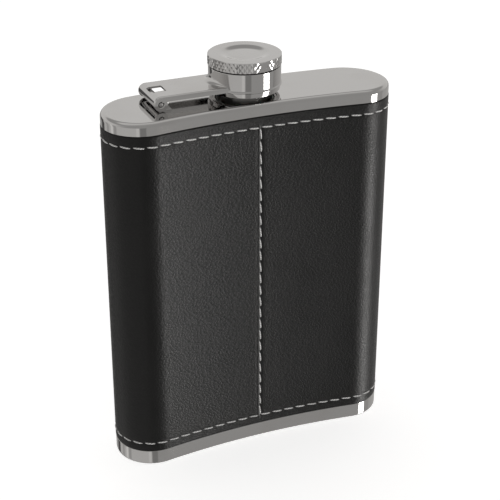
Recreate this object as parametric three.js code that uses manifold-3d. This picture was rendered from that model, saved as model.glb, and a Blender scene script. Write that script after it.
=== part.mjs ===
// Kidney-shaped pocket flask with a leather wrap and a captive screw cap on a hinged arm.
// Millimetres, +Z up. The origin is the centre of the base, and the hollow side faces -Y.

import * as THREE from "three";
import { mergeVertices } from "three/addons/utils/BufferGeometryUtils.js";
import Module from "manifold-3d";

const wasm = await Module();
wasm.setup();

// ---- Driving dimensions ----

// Plan outline of the wrapped flask, seen from above.
const flaskWidth = 94;
const flaskThickness = 25.4; // on the centre line
const frontRadius = 243; // the hollow side
const backRadius = 308; // the bulging side
const frontCornerRadius = 11.9;
const backCornerRadius = 13.9;
const arcSteps = 10; // facets on each arc of the outline

// Heights above the table.
const wrapBottom = 5.2;
const wrapTop = 114.6;
const shoulderTop = 118.6;
const neckTop = 125.5;
const capTop = 131.1;

// Sheet, leather and the gaps between the layers of the body.
const sheet = 0.6;
const leather = 0.9;
const glueLine = 0.1;
const wrapStandsProud = 0.1; // of the bare steel bands
const edgeGap = 0.1; // between the wrap's edges and the bands
const lapGap = 0.2; // between the body tube and the two pans
const shoulderEdgeRadius = 1.5;
const baseEdgeRadius = 0.8;

// Stitching, as plain strips of the thread's width.
const threadWidth = 0.5;
const threadHeight = 0.2;
const threadLift = 0.05;
const topStitchDrop = 3.4; // below the wrap's top edge
const bottomStitchRise = 3.0; // above the wrap's bottom edge

// Neck, with its thread drawn as plain ridges.
const neckBore = 6.5;
const neckRoot = 7.4;
const neckCrest = 7.8;
const neckFlangeRadius = 9.2;
const threadStart = 120.6;
const threadPitch = 1.7;
const threadRidges = 3;

// Cap, built as a shell, a threaded liner, a seal and a collar that keeps the arm's ring on.
const capRadius = 11.4;
const headBottom = 127.9;
const skirtRadius = 9.95;
const skirtBottom = 120.3;
const capBore = 9.25;
const capCeiling = 129.6;
const dishRadius = 8.2;
const dishDepth = 0.8;
const dishRings = 6;
const collarRadius = 11.15;
const collarBottom = 120;
const collarTop = 121.6;
const linerRadius = 9;
const linerBore = 8.5;
const linerCrest = 8.25;
const linerCeiling = 127.6;
const sealRadius = 8;
const sealBottom = neckTop + 0.1;
const sealTop = 127.2;

// Arm: a shallow pressed channel with two round lugs at one end and a drawn ring at the other.
const armTop = 123.3;
const armBottom = 121.7;
const armHalfWidth = 7.55;
const armSheet = 0.6;
const armEnd = -31.9;
const armBend = 0.9; // outside radius of the channel's bends
const ringTop = 127.6;
const ringBore = 10.25;
const ringRadius = 11.4;
const ringBlend = 2; // fillet where the channel rises into the ring
const windowFrom = -31;
const windowTo = -26.3;
const windowHalfWidth = 2.6;

// Hinge.
const pinX = -29.75;
const pinZ = 120.9;
const pinRadius = 0.7;
const pinHoleRadius = 0.76;
const pinHalfLength = 7.5;
const lugRadius = 2.1;
const knuckleRadius = 1.5;
const knuckleBore = 0.82;
const knuckleHalfWidth = 6.6;
const footHalfLength = 1.4;
const footHeight = 0.6;
const footReach = 3.4; // towards the neck
const weldGap = 0.02;

// ---- Solids ----

// Joins equal corners and drops the collapsed triangles at the poles of a turned shape.
function toSolid(geometry) {
  const plain = geometry.clone();
  plain.deleteAttribute("normal");
  plain.deleteAttribute("uv");
  const merged = mergeVertices(plain);
  const corners = merged.index.array;
  const triangles = [];
  for (let i = 0; i < corners.length; i += 3) {
    const [a, b, c] = corners.slice(i, i + 3);
    if (a !== b && b !== c && c !== a) triangles.push(a, b, c);
  }
  return new wasm.Manifold(
    new wasm.Mesh({
      numProp: 3,
      vertProperties: new Float32Array(merged.attributes.position.array),
      triVerts: new Uint32Array(triangles),
    }),
  );
}

function toGeometry(solid) {
  const mesh = solid.getMesh();
  const geometry = new THREE.BufferGeometry();
  geometry.setAttribute("position", new THREE.BufferAttribute(mesh.vertProperties, 3));
  geometry.setIndex(new THREE.BufferAttribute(mesh.triVerts, 1));
  return geometry;
}

function box(xFrom, xTo, yFrom, yTo, zFrom, zTo) {
  return new THREE.BoxGeometry(xTo - xFrom, yTo - yFrom, zTo - zFrom).translate(
    (xFrom + xTo) / 2,
    (yFrom + yTo) / 2,
    (zFrom + zTo) / 2,
  );
}

// A profile of [radius, height] points turned about Z, up along the outside and down the inside.
function turned(profile, sides = 48) {
  const points = profile.map(([radius, height]) => new THREE.Vector2(radius, height));
  return new THREE.LatheGeometry(points, sides).rotateX(Math.PI / 2);
}

// A round bar along Y through the hinge axis.
function hingeBar(radius, yFrom, yTo, sides = 24) {
  return new THREE.CylinderGeometry(radius, radius, yTo - yFrom, sides).translate(
    pinX,
    (yFrom + yTo) / 2,
    pinZ,
  );
}

// ---- Plan outline ----

// The long arcs are centred on x = 0; each corner touches one of them and the flask's end.
const frontCentreY = -flaskThickness / 2 - frontRadius;
const backCentreY = flaskThickness / 2 - backRadius;

function cornerCentre(longCentreY, centreDistance, radius) {
  const x = flaskWidth / 2 - radius;
  return new THREE.Vector2(x, longCentreY + Math.sqrt(centreDistance ** 2 - x ** 2));
}

const frontCorner = cornerCentre(frontCentreY, frontRadius + frontCornerRadius, frontCornerRadius);
const backCorner = cornerCentre(backCentreY, backRadius - backCornerRadius, backCornerRadius);

// Moves the outline so that its box is centred on y = 0. The neck keeps the middle of the wall.
const neckY = (frontCornerRadius - frontCorner.y - flaskThickness / 2) / 2;

// The outline moved inwards by inset, which only changes the arcs' radii.
function outline(inset) {
  const frontLean = Math.atan2(frontCorner.y - frontCentreY, frontCorner.x);
  const backLean = Math.atan2(backCorner.y - backCentreY, backCorner.x);
  const front = frontCornerRadius - inset;
  const back = backCornerRadius - inset;
  const arcs = [
    [frontCorner.x, frontCorner.y, front, frontLean - Math.PI, 0],
    [backCorner.x, backCorner.y, back, 0, backLean],
    [0, backCentreY, backRadius - inset, backLean, Math.PI - backLean],
    [-backCorner.x, backCorner.y, back, Math.PI - backLean, Math.PI],
    [-frontCorner.x, frontCorner.y, front, Math.PI, 2 * Math.PI - frontLean],
    [0, frontCentreY, frontRadius + inset, Math.PI - frontLean, frontLean, true],
  ];
  const points = arcs.flatMap(([x, y, radius, start, end, clockwise = false]) =>
    new THREE.EllipseCurve(x, y, radius, radius, start, end, clockwise).getPoints(arcSteps),
  );
  const closest = 0.01;
  return new THREE.Shape(points.filter((p, i) => p.distanceTo(points.at(i - 1)) > closest));
}

// A ring that follows the outline between two insets.
function band(outerInset, innerInset, bottom, top) {
  const shape = outline(outerInset);
  shape.holes.push(outline(innerInset));
  const settings = { depth: top - bottom, bevelEnabled: false };
  return new THREE.ExtrudeGeometry(shape, settings).translate(0, neckY, bottom);
}

// A solid block on the outline with its top and bottom edges rounded.
function roundedBlock(inset, bottom, top, radius) {
  const settings = {
    depth: top - bottom - 2 * radius,
    bevelThickness: radius,
    bevelSize: radius,
    bevelSegments: 3,
  };
  const block = new THREE.ExtrudeGeometry(outline(inset + radius), settings);
  return block.translate(0, neckY, bottom + radius);
}

// ---- Body ----

const panInset = wrapStandsProud;
const tubeInset = leather + glueLine;

function bodyTube() {
  return band(tubeInset, tubeInset + sheet, sheet + lapGap, shoulderTop - shoulderEdgeRadius);
}

// A pressed pan: a rounded block hollowed from one side, open past the edge of its skirt.
function pan(bottom, top, radius, hollowBottom, hollowTop, keepFrom, keepTo) {
  const outside = toSolid(roundedBlock(panInset, bottom, top, radius));
  const hollow = toSolid(
    roundedBlock(panInset + sheet, hollowBottom, hollowTop, radius - sheet),
  );
  const keep = toSolid(
    box(-flaskWidth, flaskWidth, -flaskWidth, flaskWidth, keepFrom, keepTo),
  );
  return outside.subtract(hollow).intersect(keep);
}

function shoulderPan() {
  const spare = 10;
  const skirtEdge = wrapTop + edgeGap;
  const below = skirtEdge - spare;
  const shell = pan(
    below,
    shoulderTop,
    shoulderEdgeRadius,
    below - spare,
    shoulderTop - sheet,
    skirtEdge,
    shoulderTop + spare,
  );
  const holeRadius = neckRoot + edgeGap;
  const hole = turned([
    [0, below],
    [holeRadius, below],
    [holeRadius, shoulderTop + spare],
    [0, shoulderTop + spare],
  ]).translate(0, neckY, 0);
  return toGeometry(shell.subtract(toSolid(hole)));
}

function basePan() {
  const spare = 10;
  const skirtEdge = wrapBottom - edgeGap;
  const above = skirtEdge + spare;
  return toGeometry(
    pan(0, above, baseEdgeRadius, sheet, above + spare, -spare, skirtEdge),
  );
}

function leatherWrap() {
  return band(0, leather, wrapBottom, wrapTop);
}

// A line of thread round the whole wrap.
function stitchRing(middle) {
  const inner = -threadLift;
  const outer = -threadLift - threadHeight;
  return band(outer, inner, middle - threadWidth / 2, middle + threadWidth / 2);
}

// The line of thread down the middle of the hollow side, between the two rings.
function seamStitch() {
  const front = neckY - flaskThickness / 2 - threadLift;
  const half = threadWidth / 2;
  const bottom = wrapBottom + bottomStitchRise + threadWidth;
  const top = wrapTop - topStitchDrop - threadWidth;
  return box(-half, half, front - threadHeight, front, bottom, top);
}

// ---- Neck ----

// A tube through the shoulder with a flange under the plate and three thread ridges.
function neck() {
  const flangeTop = shoulderTop - sheet - edgeGap;
  const flangeBottom = flangeTop - sheet;
  const ridge = threadPitch / 2;
  const outside = [
    [neckFlangeRadius, flangeBottom],
    [neckFlangeRadius, flangeTop],
    [neckRoot, flangeTop],
  ];
  for (let turn = 0; turn < threadRidges; turn += 1) {
    const start = threadStart + turn * threadPitch;
    outside.push([neckRoot, start]);
    outside.push([neckCrest, start + ridge / 3]);
    outside.push([neckCrest, start + (2 * ridge) / 3]);
    outside.push([neckRoot, start + ridge]);
  }
  const lip = 0.3;
  outside.push([neckRoot, neckTop - lip]);
  outside.push([neckRoot - lip, neckTop]);
  outside.push([neckBore, neckTop]);
  outside.push([neckBore, flangeBottom]);
  outside.push(outside[0]);
  return turned(outside);
}

// ---- Cap, about its own axis ----

function capShell() {
  const edge = 0.25;
  const profile = [
    [0, capCeiling],
    [capBore, capCeiling],
    [capBore, skirtBottom],
    [skirtRadius, skirtBottom],
    [skirtRadius, headBottom],
    [capRadius - edge, headBottom],
    [capRadius, headBottom + edge],
    [capRadius, capTop - edge],
    [capRadius - edge, capTop],
  ];
  // The dish in the top sinks on a cosine, so it has no crease.
  for (let ring = 0; ring <= dishRings; ring += 1) {
    const share = 1 - ring / dishRings;
    const sink = (dishDepth * (1 + Math.cos(Math.PI * share))) / 2;
    profile.push([dishRadius * share, capTop - sink]);
  }
  return turned(profile);
}

function capCollar() {
  const roll = 0.5;
  const bore = skirtRadius + edgeGap;
  return turned([
    [bore, collarBottom],
    [collarRadius - roll, collarBottom],
    [collarRadius - roll * 0.3, collarBottom + roll * 0.3],
    [collarRadius, collarBottom + roll],
    [collarRadius, collarTop],
    [bore, collarTop],
    [bore, collarBottom],
  ]);
}

// A moulded cup with thread ridges inside, pressed up into the shell.
function capLiner() {
  const bottom = skirtBottom + edgeGap;
  const top = capCeiling - edgeGap;
  const ridge = threadPitch / 2;
  const inside = [];
  for (let turn = threadRidges - 1; turn >= 0; turn -= 1) {
    const start = threadStart + (turn + 0.5) * threadPitch;
    inside.push([linerBore, start + ridge]);
    inside.push([linerCrest, start + (2 * ridge) / 3]);
    inside.push([linerCrest, start + ridge / 3]);
    inside.push([linerBore, start]);
  }
  return turned([
    [0, linerCeiling],
    [linerBore, linerCeiling],
    ...inside,
    [linerBore, bottom],
    [linerRadius, bottom],
    [linerRadius, top],
    [0, top],
  ]);
}

function capSeal() {
  return turned([
    [0, sealBottom],
    [sealRadius, sealBottom],
    [sealRadius, sealTop],
    [0, sealTop],
  ]);
}

// ---- Arm and hinge, about the neck's axis in Y ----

// The channel's section, in Y and Z, drawn along X from the hinge end to the ring.
function armChannel() {
  const section = new THREE.Shape();
  const inner = armHalfWidth - armSheet;
  section.moveTo(-inner, armBottom);
  section.lineTo(-inner, armTop - armSheet);
  section.lineTo(inner, armTop - armSheet);
  section.lineTo(inner, armBottom);
  section.lineTo(armHalfWidth, armBottom);
  section.absarc(armHalfWidth - armBend, armTop - armBend, armBend, 0, Math.PI / 2);
  section.absarc(armBend - armHalfWidth, armTop - armBend, armBend, Math.PI / 2, Math.PI);
  section.lineTo(-armHalfWidth, armBottom);
  const settings = { depth: -armEnd, bevelEnabled: false, curveSegments: 4 };
  return new THREE.ExtrudeGeometry(section, settings)
    .rotateX(Math.PI / 2)
    .rotateZ(Math.PI / 2)
    .translate(armEnd, 0, 0);
}

// The side view that rounds the plate's end over the lugs.
function armSideView() {
  const side = new THREE.Shape();
  const spare = 1;
  side.moveTo(armEnd, armBottom - spare);
  side.lineTo(spare, armBottom - spare);
  side.lineTo(spare, armTop + spare);
  side.lineTo(armEnd + armBend, armTop + spare);
  side.lineTo(armEnd + armBend, armTop);
  side.absarc(armEnd + armBend, armTop - armBend, armBend, Math.PI / 2, Math.PI);
  const settings = { depth: 2 * flaskThickness, bevelEnabled: false, curveSegments: 4 };
  return new THREE.ExtrudeGeometry(side, settings)
    .rotateX(Math.PI / 2)
    .translate(0, flaskThickness, 0);
}

// The ring, with the concave blend that the channel rises into.
function armRing() {
  return turned([
    [ringBore, armBottom],
    [ringRadius, armBottom],
    [ringRadius, ringTop],
    [ringBore, ringTop],
    [ringBore, armBottom],
  ]);
}

function ringBlendSkirt() {
  const points = [
    [0, armTop - armSheet],
    [ringRadius + ringBlend, armTop - armSheet],
  ];
  const steps = 5;
  for (let step = 0; step <= steps; step += 1) {
    const angle = (Math.PI / 2) * (step / steps);
    points.push([
      ringRadius + ringBlend * (1 - Math.sin(angle)),
      armTop + ringBlend * (1 - Math.cos(angle)),
    ]);
  }
  points.push([0, armTop + ringBlend]);
  return turned(points);
}

function capArm() {
  const inner = armHalfWidth - armSheet;
  const widest = armHalfWidth - armBend;
  const blend = toSolid(ringBlendSkirt()).intersect(
    toSolid(box(armEnd, 0, -widest, widest, armBottom, ringTop)),
  );
  const bore = turned([
    [0, armBottom - 1],
    [ringBore, armBottom - 1],
    [ringBore, ringTop + 1],
    [0, ringTop + 1],
  ]);
  const window = box(
    windowFrom,
    windowTo,
    -windowHalfWidth,
    windowHalfWidth,
    armBottom,
    armTop + 1,
  );
  const arm = toSolid(armChannel())
    .intersect(toSolid(armSideView()))
    .add(toSolid(hingeBar(lugRadius, -armHalfWidth, -inner, 40)))
    .add(toSolid(hingeBar(lugRadius, inner, armHalfWidth, 40)))
    .add(toSolid(armRing()))
    .add(blend)
    .subtract(toSolid(bore))
    .subtract(toSolid(window))
    .subtract(toSolid(hingeBar(pinHoleRadius, -armHalfWidth - 1, armHalfWidth + 1)));
  return toGeometry(arm);
}

// A knuckle on a foot, bent from one strip and welded to the shoulder between the lugs.
function hingeBracket() {
  const footBottom = shoulderTop + weldGap;
  const footTop = footBottom + footHeight;
  const foot = box(
    pinX - footHalfLength,
    pinX + footReach,
    -knuckleHalfWidth,
    knuckleHalfWidth,
    footBottom,
    footTop,
  );
  const webHalf = knuckleRadius / 2;
  const web = box(
    pinX - webHalf,
    pinX + webHalf,
    -knuckleHalfWidth,
    knuckleHalfWidth,
    footTop - footHeight / 2,
    pinZ,
  );
  const bracket = toSolid(foot)
    .add(toSolid(web))
    .add(toSolid(hingeBar(knuckleRadius, -knuckleHalfWidth, knuckleHalfWidth)))
    .subtract(toSolid(hingeBar(knuckleBore, -pinHalfLength, pinHalfLength)));
  return toGeometry(bracket);
}

// ---- Materials and assembly ----

function finish(color, roughness, metalness) {
  return new THREE.MeshStandardMaterial({ color, roughness, metalness });
}

const polishedSteel = finish(0xb4b2ae, 0.12, 1);
const plainSteel = finish(0x9c9b98, 0.35, 1);
const blackLeather = finish(0x1b1a1a, 0.55, 0);
const greyThread = finish(0xa9a9a8, 0.8, 0);
const whitePlastic = finish(0xe6e5e0, 0.5, 0);
const clearRubber = finish(0xcfd0cc, 0.6, 0);

const flask = new THREE.Group();
const onNeckAxis = new THREE.Group();
onNeckAxis.position.y = neckY;
flask.add(onNeckAxis);

function addPiece(parent, name, geometry, material) {
  const mesh = new THREE.Mesh(geometry, material);
  mesh.name = name;
  parent.add(mesh);
}

addPiece(flask, "body_tube", bodyTube(), plainSteel);
addPiece(flask, "shoulder_pan", shoulderPan(), polishedSteel);
addPiece(flask, "base_pan", basePan(), polishedSteel);
addPiece(flask, "leather_wrap", leatherWrap(), blackLeather);
addPiece(flask, "top_stitching", stitchRing(wrapTop - topStitchDrop), greyThread);
addPiece(flask, "bottom_stitching", stitchRing(wrapBottom + bottomStitchRise), greyThread);
addPiece(flask, "seam_stitching", seamStitch(), greyThread);

addPiece(onNeckAxis, "neck", neck(), plainSteel);
addPiece(onNeckAxis, "hinge_bracket", hingeBracket(), polishedSteel);
addPiece(onNeckAxis, "hinge_pin", hingeBar(pinRadius, -pinHalfLength, pinHalfLength), plainSteel);
addPiece(onNeckAxis, "cap_arm", capArm(), polishedSteel);
addPiece(onNeckAxis, "cap_shell", capShell(), polishedSteel);
addPiece(onNeckAxis, "cap_collar", capCollar(), polishedSteel);
addPiece(onNeckAxis, "cap_liner", capLiner(), whitePlastic);
addPiece(onNeckAxis, "cap_seal", capSeal(), clearRubber);

export default flask;
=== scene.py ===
# %% [markdown]
# # A leather-wrapped pocket flask
# The engineering model gives every piece its place and the way it moves. This notebook loads that
# model as a fixed frame, makes a finer piece over each plain one, and mixes a finish for each.
# Every length is in metres. A size that a piece's box in the model gives is read from there. A
# size inside a piece, which no box gives, is typed in the cell that first needs it.

# %% Load the frame
import math

import bmesh
import bpy
from mathutils import Matrix, Vector


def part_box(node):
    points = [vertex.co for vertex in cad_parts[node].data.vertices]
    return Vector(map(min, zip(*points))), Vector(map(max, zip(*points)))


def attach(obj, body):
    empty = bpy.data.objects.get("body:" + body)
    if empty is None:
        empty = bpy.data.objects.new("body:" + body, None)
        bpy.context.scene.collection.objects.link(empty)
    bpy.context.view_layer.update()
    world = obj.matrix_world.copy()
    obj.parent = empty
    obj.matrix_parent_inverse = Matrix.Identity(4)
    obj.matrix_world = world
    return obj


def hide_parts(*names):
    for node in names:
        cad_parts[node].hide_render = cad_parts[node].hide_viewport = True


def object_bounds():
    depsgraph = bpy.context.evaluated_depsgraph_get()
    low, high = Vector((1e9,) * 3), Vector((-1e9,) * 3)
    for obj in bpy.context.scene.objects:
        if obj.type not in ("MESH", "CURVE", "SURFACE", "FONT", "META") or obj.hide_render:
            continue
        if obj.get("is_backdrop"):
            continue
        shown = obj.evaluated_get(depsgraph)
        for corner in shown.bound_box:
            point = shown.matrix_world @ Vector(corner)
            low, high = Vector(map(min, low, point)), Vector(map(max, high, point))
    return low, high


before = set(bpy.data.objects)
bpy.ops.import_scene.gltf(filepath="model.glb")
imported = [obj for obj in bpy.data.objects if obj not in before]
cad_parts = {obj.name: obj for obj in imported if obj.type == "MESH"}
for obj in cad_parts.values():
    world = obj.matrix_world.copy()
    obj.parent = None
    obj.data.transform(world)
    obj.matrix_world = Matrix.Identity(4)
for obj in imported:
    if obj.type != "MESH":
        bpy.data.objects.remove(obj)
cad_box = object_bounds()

MM = 0.001

# The neck's axis and the hinge's axis come from those boxes, so both follow the model if it
# changes. The heights that are typed further down, such as the top of the arm's plate, don't.

# %% Read the places from the frame
wrap_low, wrap_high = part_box("leather_wrap")
shoulder_low, shoulder_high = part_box("shoulder_pan")
base_low, base_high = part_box("base_pan")
neck_low, neck_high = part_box("neck")
pin_low, pin_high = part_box("hinge_pin")
arm_low, arm_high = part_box("cap_arm")
shell_low, shell_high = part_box("cap_shell")
collar_low, collar_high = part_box("cap_collar")
liner_low, liner_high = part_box("cap_liner")
bracket_low, bracket_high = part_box("hinge_bracket")

neck_axis = (neck_low + neck_high) / 2
pin_axis = (pin_low + pin_high) / 2
print(f"neck axis at y = {neck_axis.y * 1000:.2f} mm")
print(f"hinge axis at x = {pin_axis.x * 1000:.2f} mm, z = {pin_axis.z * 1000:.2f} mm")

# %% [markdown]
# ## Camera
# The flask is seen from its hollow side, a little to the left and from above, through a long lens.
# A long lens keeps the sides nearly parallel. The camera is placed by two angles and a distance
# from the point it looks at, which is easier to think about than three coordinates.

# %% Place the camera
camera_azimuth = math.radians(-23.15)
camera_elevation = math.radians(26.3)
camera_distance = 0.4433
camera_aim = Vector((0.0018, neck_axis.y, 0.0638))

flat = math.cos(camera_elevation)
camera_back = Vector((math.sin(camera_azimuth) * flat, -math.cos(camera_azimuth) * flat, 0))
camera_back.z = math.sin(camera_elevation)
camera_data = bpy.data.cameras.new("Camera")
camera_data.lens = 97.96
camera_data.sensor_width = 36
camera_data.clip_start = 0.01
camera = bpy.data.objects.new("Camera", camera_data)
camera.location = camera_aim + camera_back * camera_distance
camera.rotation_euler = (-camera_back).to_track_quat("-Z", "Y").to_euler()
bpy.context.scene.collection.objects.link(camera)
bpy.context.scene.camera = camera
print("camera at", [round(c, 3) for c in camera.location])

# %% [markdown]
# ## Shader arithmetic
# A finish is a small network of nodes. `Wire` stands for one output of a node, and Python's own
# operators add Math nodes, so `1 - mask` or `low + grain * 0.1` reads as it would on paper.

# %% Make the wires
class Wire:
    """One output socket in a finish. Arithmetic on it adds Math nodes."""

    def __init__(self, finish, socket):
        self.finish, self.socket = finish, socket

    def maths(self, operation, *values):
        sockets = dict(enumerate(values))
        return self.finish.node("Math", {"operation": operation}, sockets)

    def __add__(self, other):
        return self.maths("ADD", self, other)

    def __sub__(self, other):
        return self.maths("SUBTRACT", self, other)

    def __rsub__(self, other):
        return self.maths("SUBTRACT", other, self)

    def __mul__(self, other):
        return self.maths("MULTIPLY", self, other)

    __radd__ = __add__
    __rmul__ = __mul__

    def absolute(self):
        return self.maths("ABSOLUTE", self)

    def sine(self):
        return self.maths("SINE", self)

    def ramp(self, low, high):
        """0 below low, 1 above high, with a soft change between."""
        settings = {"interpolation_type": "SMOOTHSTEP"}
        return self.finish.node("MapRange", settings, {"Value": self, 1: low, 2: high})


print("wires know:", [name for name in vars(Wire) if not name.startswith("_")])

# %% [markdown]
# ## Mixing a finish
# `Finish` holds one material, or the world, while it is being mixed. `Finish.node` adds any node:
# its type, its settings, then what its sockets hold, either a plain value or a wire. The few nodes
# that nearly every finish needs, such as noise and bump, get a short name of their own.

# %% Make the finishes
class Finish:
    """A material, or the world, while it is being mixed."""

    def __init__(self, name, family="materials"):
        self.result = getattr(bpy.data, family).new(name)
        self.result.use_nodes = True
        self.nodes = self.result.node_tree.nodes
        self.links = self.result.node_tree.links
        self.nodes.clear()

    def node(self, kind, settings=None, sockets=None, output=0):
        made = self.nodes.new("ShaderNode" + kind)
        for key, value in (settings or {}).items():
            setattr(made, key, value)
        for key, value in (sockets or {}).items():
            if isinstance(value, Wire):
                self.links.new(value.socket, made.inputs[key])
            else:
                made.inputs[key].default_value = value
        return Wire(self, made.outputs[output]) if made.outputs else None

    def place(self):
        """Object coordinates, which stay with the piece in every pose."""
        return self.node("TexCoord", output="Object")

    def split(self, vector):
        """The three coordinates of a vector, as wires."""
        axes = self.node("SeparateXYZ", sockets={0: vector}).socket.node.outputs
        return [Wire(self, axis) for axis in axes]

    def stretch(self, vector, scale, turn=(0, 0, 0)):
        sockets = {"Vector": vector, "Rotation": turn, "Scale": scale}
        return self.node("Mapping", sockets=sockets)

    def noise(self, vector, scale, detail=2.0, roughness=0.5):
        sockets = {"Vector": vector, "Scale": scale, "Detail": detail, "Roughness": roughness}
        return self.node("TexNoise", sockets=sockets)

    def blend(self, factor, first, second):
        """A colour between two colours."""
        settings = {"data_type": "RGBA"}
        return self.node("Mix", settings, {0: factor, 6: first, 7: second}, output=2)

    def bump(self, height, distance, strength=1.0, normal=None):
        sockets = {"Height": height, "Distance": distance, "Strength": strength}
        if normal:
            sockets["Normal"] = normal
        return self.node("Bump", sockets=sockets)

    def surface(self, **sockets):
        """The shader itself. A socket's name is written with _ for its spaces."""
        named = {key.replace("_", " "): value for key, value in sockets.items()}
        shader = self.node("BsdfPrincipled", sockets=named)
        self.node("OutputMaterial", sockets={"Surface": shader})
        print(f"finish {self.result.name}: {len(self.nodes)} nodes")
        return self.result


def grey(value, warmth=0.0):
    """A grey with a little more red and less blue where warmth is above 0."""
    return (value * (1 + warmth), value, value * (1 - warmth), 1)


print("finishes know:", [name for name in vars(Finish) if not name.startswith("_")])

# %% [markdown]
# ## Polished stainless steel
# The shoulder, base, arm and cap are bright polished. A perfect mirror looks like a drawing: real
# polish has faint hairlines from the wheel and a film from fingers that blurs it in patches. Both
# are below a tenth of a millimetre, so they go into roughness and a very low bump, not the mesh.

# %% Mix the polished steel
def polished_steel(name, tone=0.55, blur=0.05):
    steel = Finish(name)
    place = steel.place()
    film = steel.noise(place, 60, detail=4).ramp(0.45, 0.75)
    hairlines = steel.noise(steel.stretch(place, (4000, 4000, 120)), 1, detail=3)
    ripple = steel.noise(place, 220, detail=1)
    polished = steel.bump(hairlines, 0.6e-6, 0.5)
    return steel.surface(
        Base_Color=steel.blend(film, grey(tone, 0.012), grey(tone * 0.94, 0.02)),
        Metallic=1.0,
        Roughness=blur + film * 0.04 + hairlines * 0.02,
        Normal=steel.bump(ripple, 2e-6, 0.4, polished),
    )


bright_steel = polished_steel("Bright_steel")

# %% [markdown]
# ## Satin steel
# The tube inside, the neck and the pin are drawn or turned and never polished, so their reflections
# are wide. The same recipe with more blur is enough, because little of them shows while the cap
# is closed.

# %% Mix the satin steel
satin_steel = polished_steel("Satin_steel", tone=0.45, blur=0.28)

# %% [markdown]
# ## Black leather
# The wrap is thin goat-like leather with a fine pebble grain. Up close the grain is a field of
# small cushions with creases between them, which a Voronoi pattern gives when its coordinates are
# pushed about by noise first. The hide is also stretched one way as it dries on its frame, so the
# pebbles lean. Broad soft noise then varies the sheen, as handling does.

# %% Mix the leather
pebbles_per_metre = 900.0
wrinkles_per_metre = 420
pores_per_metre = 5200
handling_per_metre = 55
pebble_push = 0.0008
grain_height = 60e-6


def black_leather(name):
    hide = Finish(name)
    place = hide.place()
    lean = hide.stretch(place, (1.0, 1.0, 1.5), (0.0, math.radians(28), 0.0))
    noise = {"Vector": lean, "Scale": pebbles_per_metre, "Detail": 2.0}
    push = hide.node("TexNoise", None, noise, output=1)
    settings = {"operation": "MULTIPLY_ADD"}
    pushed = hide.node("VectorMath", settings, {0: push, 1: (pebble_push,) * 3, 2: lean})
    cells = {"Vector": pushed, "Scale": pebbles_per_metre}
    pebble = hide.node("TexVoronoi", {"feature": "DISTANCE_TO_EDGE"}, cells).ramp(0.0, 0.25)
    wrinkle = hide.noise(lean, wrinkles_per_metre, detail=4, roughness=0.6)
    pore = hide.noise(place, pores_per_metre, detail=2)
    handling = hide.noise(place, handling_per_metre, detail=3).ramp(0.35, 0.7)
    crease = 1 - pebble
    relief = pebble * 0.55 + wrinkle * 0.9 + pore * 0.12
    # Base colour: darker in the creases between the pebbles, which is painted shade, and varied at
    # random by handling.
    crease_shade_and_handling_tone = crease * 0.6 + handling * 0.4
    return hide.surface(
        Base_Color=hide.blend(crease_shade_and_handling_tone, grey(0.003, 0.06), grey(0.001, 0.06)),
        Roughness=0.34 + crease * 0.12 - handling * 0.04,
        Specular_IOR_Level=0.28,
        Normal=hide.bump(relief, grain_height, 0.8),
    )


leather = black_leather("Black_leather")

# %% [markdown]
# ## Sewing thread
# The thread is two strands twisted together. Each stitch carries its own map, u round the thread
# and v along it in millimetres, so one sine of both draws the twist on every stitch alike.

# %% Mix the thread
strands = 2
twist_length_in_mm = 0.9


def twisted_thread(name):
    thread = Finish(name)
    around, along, _ = thread.split(thread.node("UVMap", {"uv_map": "thread"}))
    phase = around * (2 * math.pi * strands) + along * (2 * math.pi / twist_length_in_mm)
    strand_relief_and_shade = phase.sine() * 0.5 + 0.5
    fuzz = thread.noise(thread.place(), 9000, detail=2)
    # The base colour is darker in the grooves between the strands than on their crowns, which is
    # painted shade.
    return thread.surface(
        Base_Color=thread.blend(strand_relief_and_shade.ramp(0.0, 0.7), grey(0.3, 0.01), grey(0.62, 0.01)),
        Roughness=0.62 + fuzz * 0.2,
        Sheen_Weight=0.3,
        Normal=thread.bump(strand_relief_and_shade + fuzz * 0.4, 50e-6, 0.8),
    )


thread = twisted_thread("Grey_thread")

# %% [markdown]
# ## Moulded liner and seal
# The cap's liner is a white moulding and the seal a disc of silicone. Both show only when the cap
# is open, from below. A faint mould texture and some light passing under the skin are enough.

# %% Mix the moulded finishes
def moulded(name, colour, roughness, glow):
    plastic = Finish(name)
    place = plastic.place()
    mould = plastic.noise(place, 2600, detail=3)
    stain = plastic.noise(place, 180, detail=2).ramp(0.5, 0.8)
    dull = tuple(part * 0.9 for part in colour[:3]) + (1,)
    return plastic.surface(
        Base_Color=plastic.blend(stain, colour, dull),
        Roughness=roughness + mould * 0.12,
        Subsurface_Weight=glow,
        Subsurface_Scale=0.001,
        Normal=plastic.bump(mould, 12e-6, 0.5),
    )


liner_plastic = moulded("Liner_plastic", (0.78, 0.77, 0.73, 1), 0.35, 0.1)
seal_rubber = moulded("Seal_rubber", (0.6, 0.6, 0.57, 1), 0.45, 0.3)
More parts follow.
